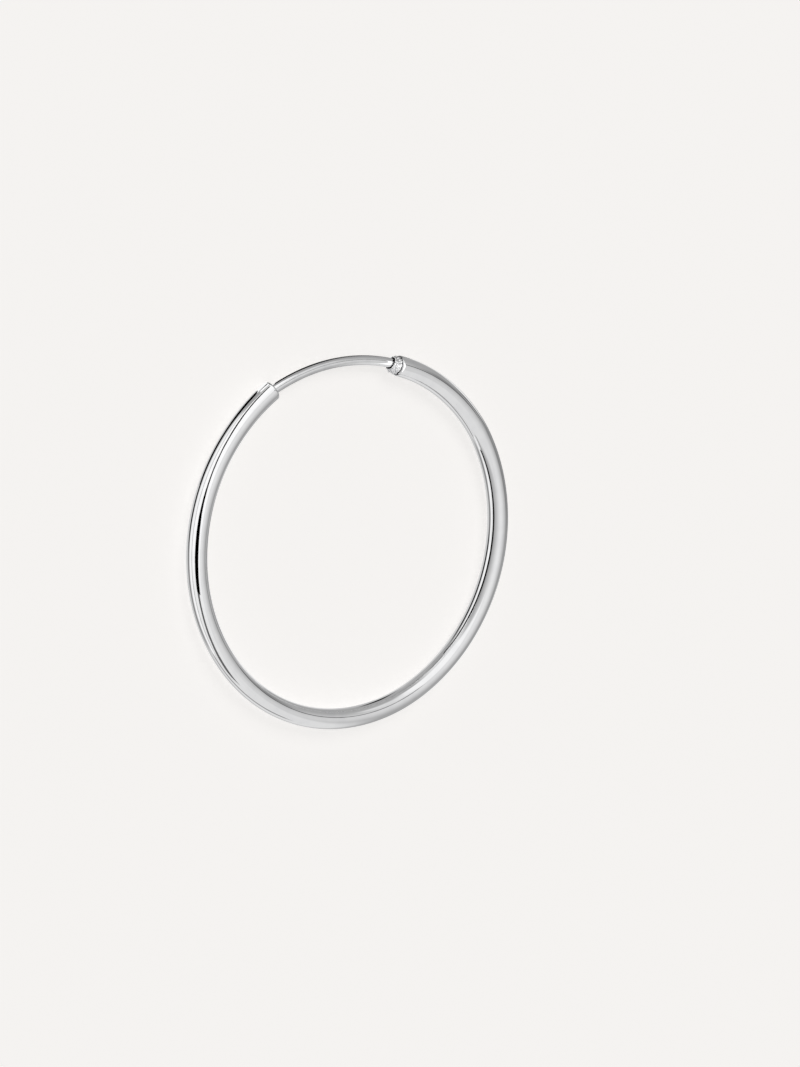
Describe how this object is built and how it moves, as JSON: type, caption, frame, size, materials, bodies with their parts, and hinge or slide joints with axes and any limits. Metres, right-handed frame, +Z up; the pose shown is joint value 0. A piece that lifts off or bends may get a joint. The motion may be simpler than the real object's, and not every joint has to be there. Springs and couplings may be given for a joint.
{
  "type": "hoop earring",
  "caption": "Round silver hoop earring: a slim polished tube closed by a fine ear wire that slides into its open end.",
  "frame": {"origin": "middle of the hoop's circle, on the surface that the hoop lies on", "axes": "+Z up, along the hoop's axis; +Y towards the middle of the ear wire; +X so that the tube's joint end is at +X and its open mouth at -X"},
  "size_m": [0.037, 0.0362, 0.002],
  "materials": {
    "tube": "mirror-polished sterling silver",
    "bead": "bright silver, softly lumpy",
    "wire": "drawn and polished silver wire"
  },
  "bodies": {
    "root": {"hoop_tube": "tube", "joint_bead": "bead", "ear_wire": "wire"}
  },
  "joints": []
}
